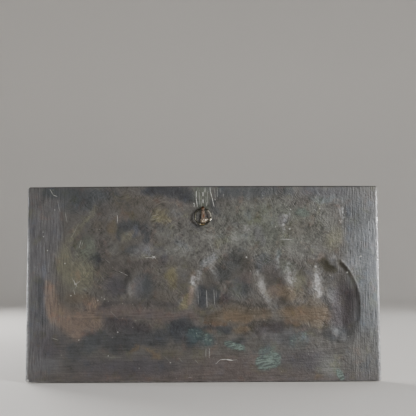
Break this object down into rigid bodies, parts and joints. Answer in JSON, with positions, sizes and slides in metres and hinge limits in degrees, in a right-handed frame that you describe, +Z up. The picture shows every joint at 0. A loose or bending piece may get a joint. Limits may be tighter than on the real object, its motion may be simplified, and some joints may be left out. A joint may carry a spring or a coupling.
{
  "type": "relief plaque",
  "caption": "Cast metal relief plaque with a moulded frame, carved still life in front, hollowed patinated back and a wire hanging ring in a soldered lug.",
  "frame": {"origin": "on the plane of the plaque's flat back border, behind the axis on which the hanging ring swings in its lug, centred in the width and 23 mm below the top edge", "axes": "+Z up the plaque as it hangs, +Y out of its back towards the wall, -Y out of its carved front, +X to the right as one looks at the carved front"},
  "size_m": [0.35, 0.0162, 0.194],
  "materials": {
    "plate_bronze": "cast bronze with a dark brown-black patina, worn to grey on the borders, with copper, olive and verdigris patches on the back",
    "lug_brass": "tarnished brass strip with a mound of bright grey solder",
    "ring_wire": "tarnished brass wire, bright where it rubs"
  },
  "bodies": {
    "plaque": {"relief_plate": "plate_bronze", "hanging_lug": "lug_brass"},
    "ring": {"hanging_ring": "ring_wire"}
  },
  "joints": [
    {"name": "ring_swing", "type": "hinge", "parent": "plaque", "child": "ring", "pos_m": [0, 0.00248, 0], "axis": [1, 0, 0], "range_deg": [-4, 176]}
  ]
}
